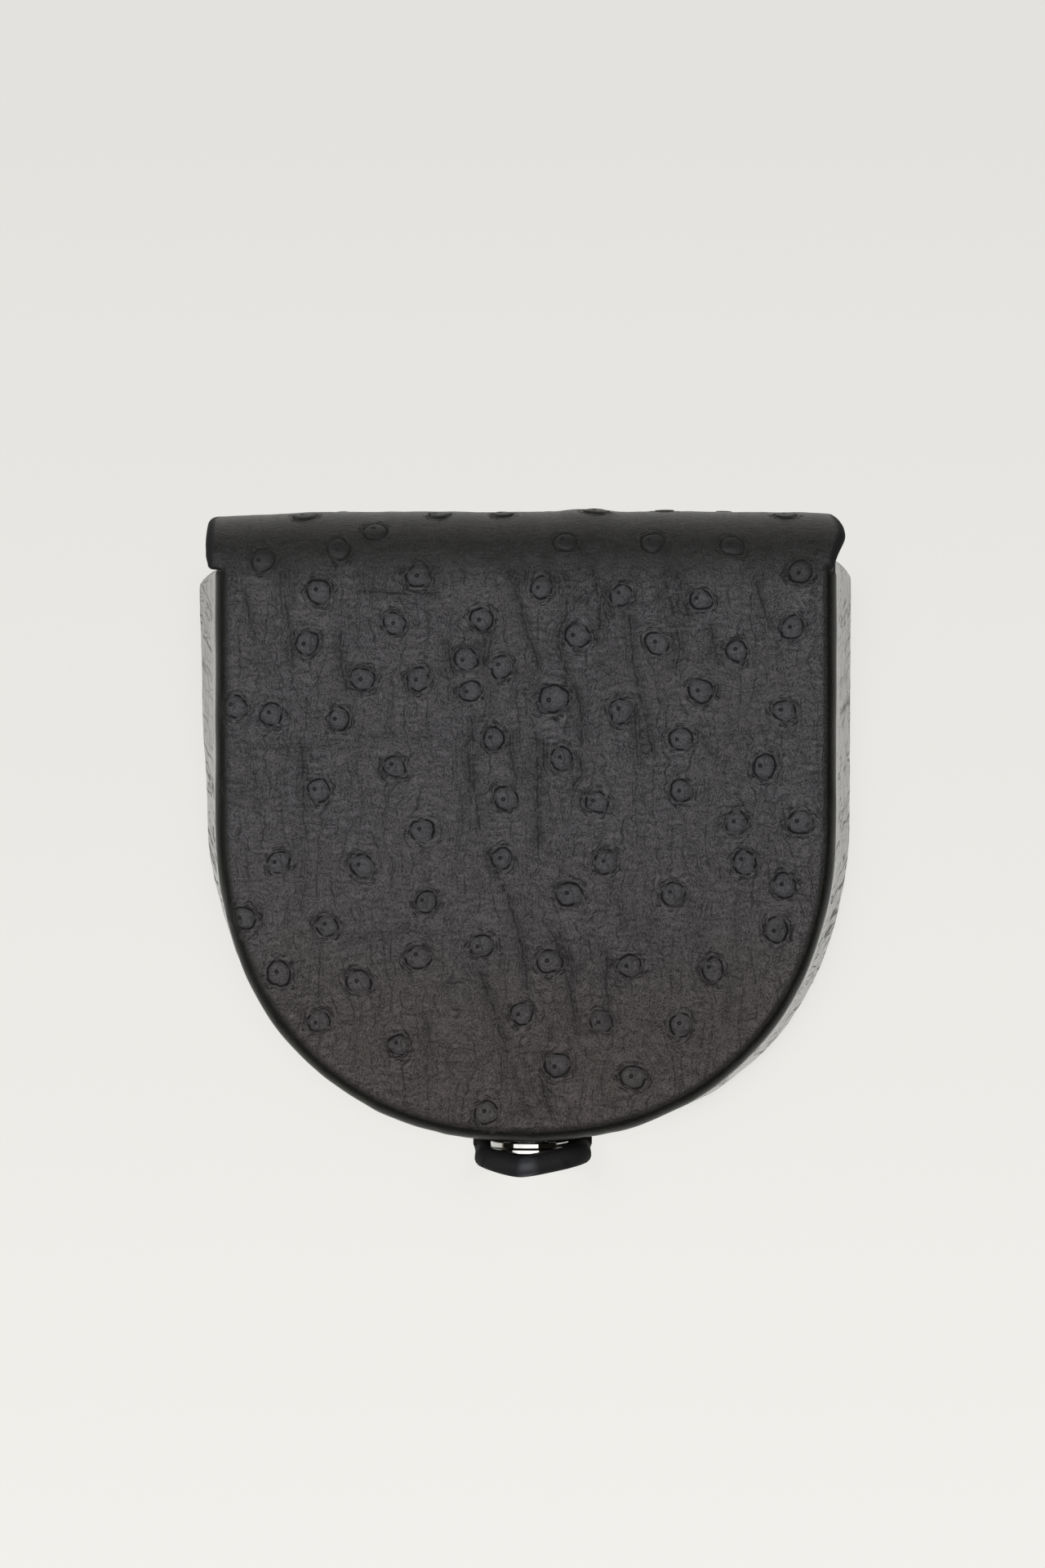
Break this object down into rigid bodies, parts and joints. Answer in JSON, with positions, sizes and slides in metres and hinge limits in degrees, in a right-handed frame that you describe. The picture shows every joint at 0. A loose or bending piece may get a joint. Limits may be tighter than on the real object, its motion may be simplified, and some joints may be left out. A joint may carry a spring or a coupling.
{
  "type": "compact purse",
  "caption": "Compact horseshoe coin purse in black quill-grained leather, closed: moulded face, hinge roll, flared gusset, back flap and a snap tongue.",
  "frame": {"origin": "middle of the purse's box, on the plane that the back flap rests on", "axes": "+Z out of the face, up as the purse lies on its flap; +Y towards the hinge roll; +X to the right seen from the face"},
  "size_m": [0.0844, 0.084, 0.021],
  "materials": {
    "quill_leather": "satin",
    "gusset_leather": "satin",
    "snap_metal": "polished"
  },
  "bodies": {
    "root": {"wrap": "quill_leather", "gusset": "gusset_leather", "snap_stud": "snap_metal", "snap_socket": "snap_metal"}
  },
  "joints": []
}
